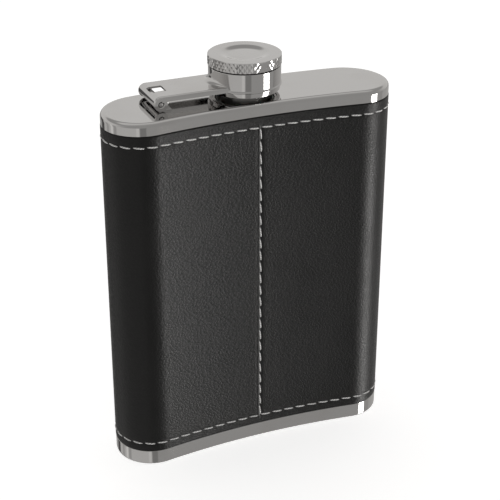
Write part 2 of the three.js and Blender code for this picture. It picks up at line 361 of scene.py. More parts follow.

# %% [markdown]
# ## Finishing a piece
# Every new piece ends the same way. Doubles are merged, the faces are turned outwards, and each
# face is shaded smooth except across edges that are really sharp. A Weighted Normal modifier lets
# the larger faces decide the shading, so a flat next to a small rounding stays flat in a mirror
# finish. The piece then rides on its body, takes its material and stands for the node under it.

# %% The last step of every piece
def settle(bm, name, material, body, slot, *nodes, sharp=32, even=True):
    bmesh.ops.remove_doubles(bm, verts=bm.verts, dist=1e-7)
    bmesh.ops.recalc_face_normals(bm, faces=bm.faces)
    for face in bm.faces:
        face.smooth = True
    for edge in bm.edges:
        edge.smooth = edge.calc_face_angle(0) < math.radians(sharp)
    open_edges = sum(1 for edge in bm.edges if not edge.is_manifold)
    mesh = bpy.data.meshes.new(name)
    bm.to_mesh(mesh)
    bm.free()
    piece = bpy.data.objects.new(name, mesh)
    piece.data.materials.append(material)
    bpy.context.scene.collection.objects.link(piece)
    if even:
        piece.modifiers.new("Even_normals", "WEIGHTED_NORMAL").keep_sharp = True
    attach(piece, body)
    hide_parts(*nodes)
    print(f"{name}: {len(mesh.polygons)} faces, {open_edges} open edges")
    return piece


# %% [markdown]
# ## Turned pieces
# The neck and everything in the cap is round about one axis, so each is a profile spun full
# circle. `turned` takes pairs of radius and height. `plug` makes the round tool that punches the
# shoulder and bores the arm's ring. `soften` bevels the edges that are left sharp, because no
# pressed or turned edge is a knife, and the bevel is what catches the light.

# %% Spin and soften
def turned(points, steps=96, closed=False):
    bm = bmesh.new()
    verts = [bm.verts.new((radius, neck_axis.y, height)) for radius, height in points]
    pairs = list(zip(verts, verts[1:]))
    if closed:
        pairs.append((verts[-1], verts[0]))
    edges = [bm.edges.new(pair) for pair in pairs]
    bmesh.ops.spin(
        bm, geom=verts + edges, cent=(0, neck_axis.y, 0), axis=(0, 0, 1), angle=2 * math.pi,
        steps=steps, use_merge=True, use_duplicate=False,
    )
    bmesh.ops.remove_doubles(bm, verts=bm.verts, dist=1e-7)
    bmesh.ops.recalc_face_normals(bm, faces=bm.faces)
    return bm


def plug(radius, low, high, steps=96):
    """A plain round plug on the neck's axis, for punching holes."""
    return turned([(0, low), (radius, low), (radius, high), (0, high)], steps)


def soften(bm, width, segments=3, sharper=40):
    edges = [edge for edge in bm.edges if edge.calc_face_angle(0) > math.radians(sharper)]
    bmesh.ops.bevel(
        bm, geom=edges, offset=width, segments=segments, profile=0.5, affect="EDGES",
        material=-1, clamp_overlap=True,
    )
    return bm


# %% [markdown]
# ## Blocks, bars and Booleans
# The shoulder, the arm and its bracket are sheet with holes. Cutting holes by hand means sewing
# faces round every edge. Joining and cutting a few closed shapes is shorter and just as exact.
# `carve` stacks Boolean modifiers on a scratch object, reads the result back and deletes the
# scratch.

# %% Block, bar and carve
HALF = math.pi / 2


def block(low, high):
    bm = bmesh.new()
    low, high = Vector(low), Vector(high)
    bmesh.ops.create_cube(bm, size=1)
    bmesh.ops.scale(bm, verts=bm.verts, vec=high - low)
    bmesh.ops.translate(bm, verts=bm.verts, vec=(low + high) / 2)
    return bm


def bar(radius, y_from, y_to, end_radius=None, segments=48):
    """A round bar along Y on the hinge's axis, from y_from to y_to. It may taper."""
    bm = bmesh.new()
    bmesh.ops.create_cone(
        bm, cap_ends=True, segments=segments, radius1=radius,
        radius2=radius if end_radius is None else end_radius, depth=abs(y_to - y_from),
        matrix=Matrix.Translation((pin_axis.x, neck_axis.y + (y_from + y_to) / 2, pin_axis.z))
        @ Matrix.Rotation(-HALF if y_to > y_from else HALF, 4, "X"),
    )
    return bm


def round_edges(bm, radius, chosen, segments=8):
    """Rounds the edges whose middle point passes the test chosen."""
    edges = [
        edge for edge in bm.edges if chosen((edge.verts[0].co + edge.verts[1].co) / 2)
    ]
    bmesh.ops.bevel(
        bm, geom=edges, offset=radius, segments=segments, profile=0.5, affect="EDGES",
        material=-1,
    )
    return bm


def scratch_object(bm):
    bmesh.ops.recalc_face_normals(bm, faces=bm.faces)
    mesh = bpy.data.meshes.new("Scratch")
    bm.to_mesh(mesh)
    bm.free()
    scratch = bpy.data.objects.new("Scratch", mesh)
    bpy.context.scene.collection.objects.link(scratch)
    return scratch


def carve(start, *steps):
    """Joins and cuts closed shapes in turn: each step is an operation and a shape."""
    body = scratch_object(start)
    tools = []
    for operation, shape in steps:
        tools.append(scratch_object(shape))
        modifier = body.modifiers.new(operation, "BOOLEAN")
        modifier.operation = operation
        modifier.object = tools[-1]
    result = bmesh.new()
    result.from_object(body, bpy.context.evaluated_depsgraph_get())
    for scratch in (body, *tools):
        mesh = scratch.data
        bpy.data.objects.remove(scratch)
        bpy.data.meshes.remove(mesh)
    bmesh.ops.remove_doubles(result, verts=result.verts, dist=1e-6)
    return result


print(f"bars are centred on x = {pin_axis.x * 1000:.2f} mm, z = {pin_axis.z * 1000:.2f} mm")

# %% [markdown]
# ## The plan outline
# Seen from above the flask is a kidney: a hollow arc in front, a bulging arc behind and a round
# corner at each end of both. Corner arcs touch their neighbours, so a smaller or larger outline
# keeps the same centres and only changes the radii. That makes every layer truly parallel.

# %% Work out the arcs
front_radius = 0.243
back_radius = 0.308
front_corner_radius = 0.0119
back_corner_radius = 0.0139
thickness = 0.0254
half_width = wrap_high.x

front_centre_y = neck_axis.y - thickness / 2 - front_radius
back_centre_y = neck_axis.y + thickness / 2 - back_radius


def corner_centre(long_centre_y, centre_distance, radius):
    x = half_width - radius
    return Vector((x, long_centre_y + math.sqrt(centre_distance**2 - x**2)))


front_corner = corner_centre(
    front_centre_y, front_radius + front_corner_radius, front_corner_radius
)
back_corner = corner_centre(back_centre_y, back_radius - back_corner_radius, back_corner_radius)
front_lean = math.atan2(front_corner.y - front_centre_y, front_corner.x)
back_lean = math.atan2(back_corner.y - back_centre_y, back_corner.x)

# Each arc: centre, radius, sign of its growth with the inset, start angle, sweep, steps.
# They run from the middle of the hollow side, anticlockwise, back to it.
corner_sweep = math.pi - front_lean
plan_arcs = [
    (0, front_centre_y, front_radius, 1, HALF, front_lean - HALF, 36),
    (*front_corner, front_corner_radius, -1, -corner_sweep, corner_sweep, 24),
    (*back_corner, back_corner_radius, -1, 0, back_lean, 22),
    (0, back_centre_y, back_radius, -1, back_lean, math.pi - 2 * back_lean, 76),
    (-back_corner.x, back_corner.y, back_corner_radius, -1, math.pi - back_lean, back_lean, 22),
    (-front_corner.x, front_corner.y, front_corner_radius, -1, math.pi, corner_sweep, 24),
    (0, front_centre_y, front_radius, 1, corner_sweep, front_lean - HALF, 36),
]
girth = sum(radius * abs(sweep) for _, _, radius, _, _, sweep, _ in plan_arcs)
print(f"the outline is {girth * 1000:.1f} mm round")


def on_outline(run, out):
    """The point a distance run along the outline from its start, moved outwards by out."""
    run %= girth
    for x, y, radius, grows, start, sweep, _ in plan_arcs:
        length = radius * abs(sweep)
        if run <= length:
            break
        run -= length
    angle = start + sweep * run / length
    reach = radius - grows * out
    return Vector((x + reach * math.cos(angle), y + reach * math.sin(angle)))


# %% [markdown]
# ## Lofting on the outline
# `outline_loop` spins one vertex through each arc, which gives a ring of edges. Each vertex keeps
# its distance along the outline in a layer of its own. `loft` then takes a profile of (inset,
# height) pairs: it extrudes the ring for each pair and sets every new vertex on the outline of
# that inset, at the distance that it carries. So a wall grows as a potter's coil does.

# %% Draw a loop and loft a profile
JOIN = 0.2 * MM


def outline_loop(bm, inset, height):
    run_layer = bm.verts.layers.float.new("run")
    run = 0.0
    for x, y, radius, grows, start, sweep, steps in plan_arcs:
        reach = radius + grows * inset
        count = len(bm.verts)
        first = bm.verts.new((x + reach * math.cos(start), y + reach * math.sin(start), height))
        bmesh.ops.spin(
            bm, geom=[first], cent=(x, y, height), axis=(0, 0, 1), angle=sweep, steps=steps,
            use_duplicate=False,
        )
        bm.verts.ensure_lookup_table()
        for step, vert in enumerate(bm.verts[count:]):
            vert[run_layer] = run + radius * abs(sweep) * step / steps
        run += radius * abs(sweep)
    bmesh.ops.remove_doubles(bm, verts=bm.verts, dist=JOIN)
    return bm.edges[:]


def extrude_ring(bm, ring, inset, height):
    """Extrudes a ring and sets the new one at another inset and height."""
    made = bmesh.ops.extrude_edge_only(bm, edges=ring)["geom"]
    verts = {item for item in made if isinstance(item, bmesh.types.BMVert)}
    edges = [item for item in made if isinstance(item, bmesh.types.BMEdge)]
    run_layer = bm.verts.layers.float["run"]
    for vert in verts:
        vert.co = on_outline(vert[run_layer], -inset).to_3d() + Vector((0, 0, height))
    return [edge for edge in edges if verts.issuperset(edge.verts)]


def loft(bm, profile, closed=False):
    """Makes a wall along a profile. Returns its first and its last ring."""
    first = last = outline_loop(bm, *profile[0])
    for inset, height in profile[1:]:
        last = extrude_ring(bm, last, inset, height)
    if closed:
        bmesh.ops.bridge_loops(bm, edges=last + first)
    return first, last


def quarter(radius, inset, height, start, steps=8):
    """Points of a quarter circle in the plane of inset and height, about a given centre."""
    angles = [math.radians(start + 90 * step / steps) for step in range(steps + 1)]
    return [(inset - radius * math.cos(a), height + radius * math.sin(a)) for a in angles]


# %% [markdown]
# ## The shoulder
# The shoulder is pressed from sheet: a flat top, a rolled edge and a short skirt that meets the
# leather. One profile gives the skirt and the roll, one face fills the flat, Solidify's operator
# gives the sheet its thickness, and a punch makes the neck's hole. A narrow strip of flat next to
# the roll keeps its bent normals away from the mirror-flat middle.

# %% Press the shoulder
sheet_metal = 0.6 * MM
steel_inset = wrap_high.x - shoulder_high.x
edge_roll = 1.5 * MM
flat_strip = 0.15 * MM
cut_edge = 0.1 * MM
cut_edge_height = 0.08 * MM
skirt_row = 0.4 * MM
hole_radius = 7.5 * MM

shoulder = bmesh.new()
top = shoulder_high.z
skirt_edge = [
    (steel_inset + cut_edge, shoulder_low.z),
    (steel_inset, shoulder_low.z + cut_edge_height),
    (steel_inset, shoulder_low.z + skirt_row),
    (steel_inset, top - edge_roll - flat_strip),
]
roll = quarter(edge_roll, steel_inset + edge_roll, top - edge_roll, 0)
_, rim = loft(shoulder, skirt_edge + roll + [(steel_inset + edge_roll + flat_strip, top)])
bmesh.ops.edgeloop_fill(shoulder, edges=rim)
bmesh.ops.recalc_face_normals(shoulder, faces=shoulder.faces)
bmesh.ops.solidify(shoulder, geom=shoulder.faces[:], thickness=sheet_metal)
shoulder = carve(shoulder, ("DIFFERENCE", plug(hole_radius, shoulder_low.z, top + MM)))
settle(shoulder, "Shoulder", bright_steel, "flask", "polished_steel", "shoulder_pan")

# %% [markdown]
# ## The base
# The base is the same pressing upside down, with a tighter edge, so that the flask stands on
# nearly its whole outline.

# %% Press the base
base_roll = 0.8 * MM
base = bmesh.new()
base_profile = [(steel_inset + base_roll + flat_strip, base_low.z)]
base_profile += [
    (inset, base_low.z + base_roll - (height - base_low.z))
    for inset, height in reversed(quarter(base_roll, steel_inset + base_roll, base_low.z, 0))
]
base_profile += [
    (steel_inset, base_low.z + base_roll + flat_strip),
    (steel_inset, base_high.z - skirt_row),
    (steel_inset, base_high.z - cut_edge_height),
    (steel_inset + cut_edge, base_high.z),
]
foot_rim, _ = loft(base, base_profile)
bmesh.ops.edgeloop_fill(base, edges=foot_rim)
bmesh.ops.recalc_face_normals(base, faces=base.faces)
bmesh.ops.solidify(base, geom=base.faces[:], thickness=sheet_metal)
settle(base, "Base", bright_steel, "flask", "polished_steel", "base_pan")

# %% [markdown]
# ## The leather wrap
# The leather is one strip glued round the tube. Its cut edges are a little rounded, the two rows
# of stitches pull a shallow trough into it, and the seam in the middle of the hollow side pulls a
# deeper one. A bump map can't show that at the silhouette, so the wall gets rows close together
# near the stitches, and its vertices move inwards there.

# %% Wrap the leather
leather_thickness = 0.9 * MM
leather_edge = 0.3 * MM
top_line = (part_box("top_stitching")[0].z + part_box("top_stitching")[1].z) / 2
bottom_line = (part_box("bottom_stitching")[0].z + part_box("bottom_stitching")[1].z) / 2
stitches_per_ring = 52
stitch_pitch = girth / stitches_per_ring
row_step = 1.3 * MM
fine_step = 0.3 * MM
fine_reach = 1.6 * MM


def wall_heights():
    """Heights of the leather's rows, close together beside the two lines of stitching."""
    heights = [wrap_low.z + leather_edge]
    while heights[-1] < wrap_high.z - leather_edge:
        near = min(abs(heights[-1] - line) for line in (top_line, bottom_line))
        heights.append(heights[-1] + (fine_step if near < fine_reach else row_step))
    heights[-1] = wrap_high.z - leather_edge
    return heights


wrap = bmesh.new()
edge_up = quarter(leather_edge, leather_edge, wrap_high.z - leather_edge, 0, steps=4)
edge_down = [(inset, wrap_low.z + wrap_high.z - height) for inset, height in reversed(edge_up)]
inside = [(leather_thickness, wrap_high.z), (leather_thickness, wrap_low.z)]
outside = [(0.0, height) for height in wall_heights()[1:-1]]
loft(wrap, edge_up + inside + edge_down + outside, closed=True)
for offset in (-2.0, -1.2, -0.7, -0.35, 0.0, 0.35, 0.7, 1.2, 2.0):
    front = [face for face in wrap.faces if face.calc_center_median().y < neck_axis.y]
    bmesh.ops.bisect_plane(
        wrap, geom=wrap.verts[:] + wrap.edges[:] + front, plane_co=(offset * MM, 0, 0),
        plane_no=(1, 0, 0),
    )
print("leather rows:", len(outside), "faces:", len(wrap.faces))

# %% [markdown]
# The troughs are bell curves of the distance to each line. Along the two rings the depth swells
# and fades once per stitch, as leather does between needle holes.

# %% Pull the stitches into the leather
ring_trough = 0.13 * MM
seam_trough = 0.2 * MM
trough_width = 0.75 * MM


def bell(distance, width):
    return math.exp(-((distance / width) ** 2))


run_layer = wrap.verts.layers.float["run"]
wrap.normal_update()
for vert in wrap.verts:
    run = vert[run_layer]
    if not wrap_low.z + leather_edge <= vert.co.z <= wrap_high.z - leather_edge:
        continue
    surface = on_outline(run, 0)
    if (vert.co.xy - surface).length > leather_thickness / 2:
        continue
    inward = (on_outline(run, -MM) - surface) / MM
    pull = 0.8 + 0.2 * math.cos(2 * math.pi * run / stitch_pitch)
    depth = ring_trough * pull * max(
        bell(vert.co.z - top_line, trough_width), bell(vert.co.z - bottom_line, trough_width)
    )
    from_seam = min(run, girth - run)
    if bottom_line < vert.co.z < top_line:
        depth = max(depth, seam_trough * bell(from_seam, trough_width))
    vert.co.x += inward.x * depth
    vert.co.y += inward.y * depth
settle(wrap, "Leather_wrap", leather, "flask", "black_leather", "leather_wrap")

# %% [markdown]
# ## One stitch
# A stitch is a short length of thread that comes out of one needle hole and dives into the next.
# A small sphere stretched along one axis has that shape, and needs few faces, which matters for a
# shape used more than a hundred times. Its points are then carried onto the curved leather by a
# function. The thread's map is written at the same time, while along and around are still known.

# %% Shape one stitch
stitch_length = 4.05 * MM
thread_radius = 0.26 * MM
thread_rise = -0.04 * MM
thread_dive = 0.42 * MM


def add_stitch(bm, place):
    """Adds a stitch. place(along, side, out) carries a point of a straight one to the flask."""
    thread_map = bm.loops.layers.uv.get("thread") or bm.loops.layers.uv.new("thread")
    bead = bmesh.ops.create_uvsphere(bm, u_segments=8, v_segments=10, radius=1)["verts"]
    spots = {}
    for vert in bead:
        latitude = math.asin(max(-1.0, min(1.0, vert.co.z)))
        along = stitch_length / 2 * latitude / HALF
        plump = thread_radius * max(0.0, math.cos(latitude)) ** 0.4
        around = math.atan2(vert.co.y, vert.co.x)
        spots[vert] = (around / (2 * math.pi), along / MM)
        dive = thread_dive * abs(2 * along / stitch_length) ** 4
        out = thread_rise - dive + plump * math.sin(around)
        vert.co = place(along, plump * math.cos(around), out)
    for face in {face for vert in bead for face in vert.link_faces}:
        furthest = max(spots[loop.vert][0] for loop in face.loops)
        for loop in face.loops:
            around, along = spots[loop.vert]
            loop[thread_map].uv = (around + round(furthest - around), along)


print(f"each stitch is {stitch_length * 1000:.2f} mm of {2000 * thread_radius:.2f} mm thread")

# %% [markdown]
# ## Rows of stitches
# Two rows run right round the flask and one runs down the seam. Saddle stitching never lies quite
# in line with its row, because each hole is cut on a slant: one end of every stitch sits higher.

# %% Sew the rows
ring_slant = math.radians(5)
seam_slant = math.radians(7)


def along_ring(start, line):
    def place(along, side, out):
        run = start + along * math.cos(ring_slant) + side * math.sin(ring_slant)
        height = line - along * math.sin(ring_slant) + side * math.cos(ring_slant)
        return on_outline(run, out).to_3d() + Vector((0, 0, height))

    return place


def down_seam(middle):
    def place(along, side, out):
        run = along * math.sin(seam_slant) + side * math.cos(seam_slant)
        height = middle - along * math.cos(seam_slant) + side * math.sin(seam_slant)
        return on_outline(run, out).to_3d() + Vector((0, 0, height))

    return place


for name, node, line in (
    ("Top_stitches", "top_stitching", top_line),
    ("Bottom_stitches", "bottom_stitching", bottom_line),
):
    row = bmesh.new()
    for number in range(stitches_per_ring):
        add_stitch(row, along_ring((number + 0.5) * stitch_pitch, line))
    settle(row, name, thread, "flask", "grey_thread", node, sharp=180, even=False)

seam = bmesh.new()
seam_stitches = 25
seam_pitch = (top_line - bottom_line) / seam_stitches
for number in range(seam_stitches):
    add_stitch(seam, down_seam(top_line - (number + 0.5) * seam_pitch))
settle(
    seam, "Seam_stitches", thread, "flask", "grey_thread", "seam_stitching", sharp=180, even=False
)

# %% [markdown]
# ## Screw threads
# A thread is one small section carried round the axis while it climbs. Spin does both at once: its
# `dvec` moves each step up a little. The coil's root sits just inside the wall that carries it.

# %% Wind a thread
thread_pitch = 1.7 * MM
thread_start = 120.6 * MM
coil_steps = 48


def wind_thread(bm, root, crest, bottom, turns):
    """Winds a ridge from radius root to radius crest, starting at height bottom."""
    ridge = thread_pitch / 2
    section = [
        (root, bottom),
        (crest, bottom + ridge / 3),
        (crest, bottom + 2 * ridge / 3),
        (root, bottom + ridge),
    ]
    verts = [bm.verts.new((radius, neck_axis.y, height)) for radius, height in section]
    steps = round(coil_steps * turns)
    bmesh.ops.spin(
        bm, geom=[bm.faces.new(verts)], cent=(0, neck_axis.y, 0), axis=(0, 0, 1),
        angle=2 * math.pi * turns, dvec=(0, 0, thread_pitch / coil_steps), steps=steps,
        use_duplicate=False,
    )


print(f"the thread climbs {thread_pitch * 1000:.1f} mm each turn")

# %% [markdown]
# ## The neck
# The neck is a short turned tube with a flange that is welded under the shoulder. Its lip is
# rounded, because that is where one drinks.

# %% Turn the neck
neck_bore = 6.5 * MM
neck_root = 7.4 * MM
neck_crest = 7.8 * MM
flange_radius = (neck_high.x - neck_low.x) / 2
flange_top = neck_low.z + sheet_metal
buried = 0.1 * MM

neck = turned(
    [
        (neck_bore, neck_low.z),
        (flange_radius, neck_low.z),
        (flange_radius, flange_top),
        (neck_root, flange_top),
        (neck_root, neck_high.z),
        (neck_bore, neck_high.z),
    ],
    closed=True,
)
soften(neck, 0.3 * MM, segments=4)
wind_thread(neck, neck_root - buried, neck_crest, thread_start, 2.2)
settle(neck, "Neck", satin_steel, "flask", "plain_steel", "neck")

# %% [markdown]
# ## The cap's shell
# The head of the cap is knurled: a wheel with crossed teeth is pressed against it while it turns.
# In the mesh, four rows of vertices run round the rim. Every second vertex is sunk, shifted by one
# from row to row, and each square is split along its two sunk corners. Every raised vertex is then
# the point of a small pyramid. The top is dished: a flat floor inside a wall that follows a
# cosine, so that neither end of the wall has a crease.

# %% Turn and knurl the shell
cap_radius = (shell_high.x - shell_low.x) / 2
cap_top = shell_high.z
head_bottom = 127.9 * MM
skirt_radius = 9.95 * MM
cap_bore = 9.25 * MM
cap_ceiling = 129.6 * MM
dish_radius = 8.2 * MM
dish_floor = 4.8 * MM
dish_depth = 0.55 * MM
knurl_columns = 104
knurl_rows = 4
knurl_depth = 0.16 * MM
knurl_low = head_bottom + 0.1 * MM
knurl_high = cap_top - 0.18 * MM
rim_radius = cap_radius - 0.3 * MM

knurl_step = (knurl_high - knurl_low) / (knurl_rows - 1)
knurl_lines = [(cap_radius, knurl_low + row * knurl_step) for row in range(knurl_rows)]
dish_steps = 14
dish = []
for step in range(dish_steps + 1):
    share = step / dish_steps
    sink = dish_depth * (1 - math.cos(math.pi * share)) / 2
    dish.append((dish_radius + (dish_floor - dish_radius) * share, cap_top - sink))
dish += [(dish_floor - 0.2 * MM, cap_top - dish_depth), (0, cap_top - dish_depth)]

shell = turned(
    [(0, cap_ceiling), (cap_bore, cap_ceiling), (cap_bore, shell_low.z)]
    + [(skirt_radius, shell_low.z), (skirt_radius, head_bottom), (rim_radius, head_bottom)]
    + knurl_lines
    + [(rim_radius, cap_top), (dish_radius + 0.1 * MM, cap_top)]
    + dish,
    steps=knurl_columns,
)


def from_axis(point):
    return math.hypot(point.x, point.y - neck_axis.y)


knurled = [vert for vert in shell.verts if from_axis(vert.co) > cap_radius - 0.01 * MM]
for vert in knurled:
    turn = math.atan2(vert.co.y - neck_axis.y, vert.co.x) / (2 * math.pi)
    column = round(turn * knurl_columns)
    row = round((vert.co.z - knurl_low) / knurl_step)
    if (column + row) % 2:
        inwards = Vector((vert.co.x, vert.co.y - neck_axis.y, 0)).normalized()
        vert.co -= inwards * knurl_depth
knurl_faces = [face for face in shell.faces if all(vert in knurled for vert in face.verts)]
bmesh.ops.triangulate(shell, faces=knurl_faces, quad_method="SHORT_EDGE")
print("knurl faces:", 2 * len(knurl_faces))
settle(shell, "Cap_shell", bright_steel, "cap", "polished_steel", "cap_shell", sharp=14)

# %% [markdown]
# ## Collar, liner and seal
# The collar is a ring pressed onto the end of the shell's skirt. It holds the cap in the arm's ring
# yet lets it turn. It is a little narrower than the ring, so that the ring's lip shows above it.

# %% Turn the collar
collar_bore = skirt_radius + 0.1 * MM
collar_radius = (collar_high.x - collar_low.x) / 2 - 0.25 * MM
collar_round = 0.25 * MM
collar_shoulder = 0.07 * MM
collar_chamfer = 0.2 * MM
collar = turned(
    [
        (collar_bore, collar_low.z),
        (collar_radius - collar_round, collar_low.z),
        (collar_radius - collar_shoulder, collar_low.z + collar_shoulder),
        (collar_radius, collar_low.z + collar_round),
        (collar_radius, collar_high.z - collar_chamfer),
        (collar_radius - collar_chamfer, collar_high.z),
        (collar_bore, collar_high.z),
    ],
    closed=True,
)
soften(collar, 0.1 * MM, sharper=60)
settle(collar, "Cap_collar", bright_steel, "cap", "polished_steel", "cap_collar")

# %% [markdown]
# The liner is moulded with its thread and pushed into the shell. It's a cup upside down.

# %% Turn the liner
liner_radius = (liner_high.x - liner_low.x) / 2
liner_bore = 8.5 * MM
liner_ceiling = 127.6 * MM
liner = turned(
    [
        (0, liner_ceiling),
        (liner_bore, liner_ceiling),
        (liner_bore, liner_low.z),
        (liner_radius, liner_low.z),
        (liner_radius, liner_high.z),
        (0, liner_high.z),
    ]
)
soften(liner, 0.15 * MM)
wind_thread(liner, liner_bore + buried, liner_bore - 0.25 * MM, thread_start + 0.3 * MM, 2.4)
settle(liner, "Cap_liner", liner_plastic, "cap", "liner_plastic", "cap_liner")

# %% [markdown]
# The seal sits in the liner's ceiling. It has a shallow ring in it, where the lip of the neck has
# pressed.

# %% Turn the seal
seal_low, seal_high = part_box("cap_seal")
seal_radius = (seal_high.x - seal_low.x) / 2
pressed = 0.06 * MM
seal = turned(
    [
        (0, seal_low.z),
        (neck_bore - 0.2 * MM, seal_low.z),
        (neck_bore, seal_low.z + pressed),
        (neck_root, seal_low.z + pressed),
        (neck_root + 0.2 * MM, seal_low.z),
        (seal_radius, seal_low.z),
        (seal_radius, seal_high.z),
        (0, seal_high.z),
    ]
)
soften(seal, 0.1 * MM)
settle(seal, "Cap_seal", seal_rubber, "cap", "seal_rubber", "cap_seal")

# %% [markdown]
# ## The arm
# One sheet of steel is bent down along both sides, curled over at the hinge and drawn up into a
# ring round the cap. Two round lugs hang from its sides and hold the pin. A window lets the curl
# bend and shows the knuckle. Where the plate rises into the ring, a fillet runs round the ring and
# dies away before the plate's bent sides.

# %% Shape the plate
arm_plate_top = 123.3 * MM
arm_bottom = 121.7 * MM
arm_half_width = 7.55 * MM
arm_inner = arm_half_width - sheet_metal
side_bend = 0.9 * MM
spare = 1.0 * MM
mid = neck_axis.y

channel = block(
    (arm_low.x, mid - arm_half_width, arm_bottom), (0, mid + arm_half_width, arm_plate_top)
)
round_edges(
    channel,
    side_bend,
    lambda p: p.z > arm_plate_top - 1e-6 and abs(p.y - mid) > arm_half_width - 1e-6,
)
side_view = block(
    (pin_axis.x, mid - 2 * arm_half_width, arm_bottom - spare),
    (spare, mid + 2 * arm_half_width, arm_plate_top + spare),
)
hollow = block(
    (pin_axis.x - spare, mid - arm_inner, arm_bottom - spare),
    (spare, mid + arm_inner, arm_plate_top - sheet_metal),
)
print(f"the plate is {2000 * arm_half_width:.1f} mm wide")

# %% [markdown]
# The curled end is a thick bar less a thinner one, both about an axis a little above the pin's.
# Only the part that faces away from the cap is kept. The lugs are short bars on the pin's axis.

# %% Shape the curled end and the lugs
curl_lift = 0.2 * MM
curl_radius = arm_plate_top - pin_axis.z - curl_lift
curl_drop = 0.35 * MM
curl_overlap = 0.05 * MM
lug_radius = 2.1 * MM


def curl(radius, half_width):
    """A bar for the plate's curled end. The wider one gets rounded ends."""
    bm = bar(radius, -half_width, half_width, segments=64)
    bmesh.ops.translate(bm, verts=bm.verts, vec=(0, 0, curl_lift))
    if half_width > arm_inner:
        soften(bm, side_bend, segments=8, sharper=60)
    return bm


def lug(side):
    """One of the two round ears that hold the pin, on the side -1 or 1."""
    ear = bar(lug_radius, side * arm_half_width, side * arm_inner)
    return soften(ear, 0.08 * MM, sharper=60)


curl_keep = block(
    (arm_low.x - spare, mid - arm_half_width, pin_axis.z - curl_drop),
    (pin_axis.x + curl_overlap, mid + arm_half_width, arm_plate_top + spare),
)
curled_end = carve(
    curl(curl_radius, arm_half_width),
    ("INTERSECT", curl_keep),
    ("DIFFERENCE", curl(curl_radius - sheet_metal, arm_inner)),
)
print("curled end:", len(curled_end.faces), "faces")

# %% [markdown]
# The ring is turned a little too thick inwards, with a small lip at its foot. It is bored out
# later, when everything else has been joined to it, so that its inside comes out clean. The lip
# draws the line above the collar.

# %% Turn the ring
ring_steps = 144
ring_radius = arm_high.x
ring_bore = 10.25 * MM
ring_top = arm_high.z
ring_round = 0.25 * MM
lip_height = 0.25 * MM
lip_waist = 0.5 * MM
lip_end = 0.8 * MM
lip_depth = 0.2 * MM
ring_wall = ring_radius - lip_depth

ring = turned(
    [
        (ring_bore - spare, arm_bottom),
        (ring_radius, arm_bottom),
        (ring_radius, arm_bottom + lip_height),
        (ring_radius - lip_depth * 0.75, arm_bottom + lip_waist),
        (ring_wall, arm_bottom + lip_end),
        (ring_wall, ring_top - ring_round),
        (ring_wall - 0.07 * MM, ring_top - 0.08 * MM),
        (ring_wall - ring_round, ring_top),
        (ring_bore - spare, ring_top),
    ],
    steps=ring_steps,
    closed=True,
)
print("ring:", len(ring.faces), "faces")

# %% [markdown]
# The fillet is a quarter-circle hollow spun through a sector of the ring. Each step of the spin is
# then scaled towards the corner where plate and ring meet, nearly to nothing at the ends and not
# at all in the middle, so that the hollow fades out on both sides.

# %% Shape the fillet
fillet_sweep = math.radians(76)
fillet_steps = 38
fillet_radius = 2.0 * MM
hollow_steps = 10
into_ring = 0.6 * MM
into_plate = 0.3 * MM
fillet_points = [
    (ring_wall - into_ring, arm_plate_top - into_plate),
    (ring_wall + fillet_radius, arm_plate_top - into_plate),
]
for step in range(hollow_steps + 1):
    angle = HALF * step / hollow_steps
    outwards = fillet_radius * (1 - math.sin(angle))
    upwards = fillet_radius * (1 - math.cos(angle))
    fillet_points.append((ring_wall + outwards, arm_plate_top + upwards))
fillet_points.append((ring_wall - into_ring, arm_plate_top + fillet_radius))
fillet = bmesh.new()
verts = [fillet.verts.new((-radius, mid, height)) for radius, height in fillet_points]
start = fillet.faces.new(verts)
bmesh.ops.rotate(
    fillet, verts=fillet.verts, cent=(0, mid, 0),
    matrix=Matrix.Rotation(-fillet_sweep / 2, 3, "Z"),
)
bmesh.ops.spin(
    fillet, geom=[start], cent=(0, mid, 0), axis=(0, 0, 1), angle=fillet_sweep,
    steps=fillet_steps, use_duplicate=False,
)
for vert in fillet.verts:
    aside = math.atan2(vert.co.y - mid, -vert.co.x)
    fade = max(0.02, math.cos(math.pi * aside / fillet_sweep)) ** 0.8
    reach = from_axis(vert.co)
    if reach > ring_wall:
        wanted = ring_wall + (reach - ring_wall) * fade
        vert.co.x *= wanted / reach
        vert.co.y = mid + (vert.co.y - mid) * wanted / reach
    if vert.co.z > arm_plate_top:
        vert.co.z = arm_plate_top + (vert.co.z - arm_plate_top) * fade
print("fillet:", len(fillet.faces), "faces")

# %% [markdown]
# Now the shapes are joined and the holes are cut. The joins come first, so that the bore and the
# window go cleanly through all of them. The pin's holes are countersunk, and the pin is riveted
# into them.

# %% Join the arm and cut its holes
window_from = -31.0 * MM
window_to = -26.3 * MM
window_half_width = 2.6 * MM
window_middle = (arm_bottom + arm_plate_top + spare) / 2
window = block(
    (window_from, mid - window_half_width, arm_bottom),
    (window_to, mid + window_half_width, arm_plate_top + spare),
)
round_edges(window, 0.35 * MM, lambda p: abs(p.z - window_middle) < 1e-6)
bore = plug(ring_bore, arm_bottom - spare, ring_top + spare, ring_steps)
pin_hole = 0.76 * MM
sink_radius = 1.05 * MM
sink_depth = 0.3 * MM
past = 0.01 * MM


def countersink(side):
    """A cone that opens the pin's hole outwards, on the side -1 or 1."""
    mouth = side * (arm_half_width + past)
    return bar(sink_radius, mouth, side * (arm_half_width - sink_depth), pin_hole)


